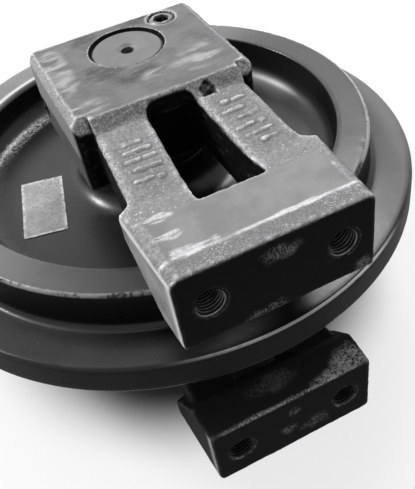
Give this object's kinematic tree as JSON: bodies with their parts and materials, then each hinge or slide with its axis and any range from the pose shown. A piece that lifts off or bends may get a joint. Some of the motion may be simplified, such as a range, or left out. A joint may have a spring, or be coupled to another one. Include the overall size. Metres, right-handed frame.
{
  "type": "excavator front idler",
  "caption": "Flanged crawler guide wheel on a sealed, oil-filled fixed shaft, held by cast brackets whose tapped feet bolt to the track tensioner's yoke.",
  "frame": {"origin": "centre of the wheel: where the shaft's axis meets the wheel's middle plane", "axes": "+Z along the shaft's axis, towards the puller hole; -Y towards the yoke; +X completes a right-handed frame"},
  "size_m": [0.512, 0.528, 0.296],
  "materials": {
    "wheel_paint": "satin black paint over cast steel, rubbed bright on the edges",
    "bracket_casting": "sand-cast steel under thin grey paint, ground on the outer faces",
    "shaft_steel": "turned and ground steel",
    "bush_bronze": "machined bronze",
    "seal_steel": "lapped hard iron",
    "seal_rubber": "matt rubber",
    "fastener_steel": "zinc-plated steel",
    "plug_brass": "machined brass"
  },
  "bodies": {
    "frame": {"shaft": "shaft_steel", "upper_bracket": "bracket_casting", "lower_bracket": "bracket_casting", "upper_fixed_seal_ring": "seal_steel", "lower_fixed_seal_ring": "seal_steel", "upper_fixed_toric": "seal_rubber", "lower_fixed_toric": "seal_rubber", "upper_shaft_o_ring": "seal_rubber", "lower_shaft_o_ring": "seal_rubber", "upper_lock_pin": "fastener_steel", "lower_lock_pin": "fastener_steel", "upper_lock_bolt": "fastener_steel", "lower_lock_bolt": "fastener_steel", "oil_plug": "plug_brass"},
    "wheel": {"idler_wheel": "wheel_paint", "upper_bush": "bush_bronze", "lower_bush": "bush_bronze", "upper_moving_seal_ring": "seal_steel", "lower_moving_seal_ring": "seal_steel", "upper_moving_toric": "seal_rubber", "lower_moving_toric": "seal_rubber"}
  },
  "joints": [
    {"name": "wheel_spin", "type": "hinge", "parent": "frame", "child": "wheel", "pos_m": [0, 0, 0], "axis": [0, 0, 1], "continuous": true}
  ]
}
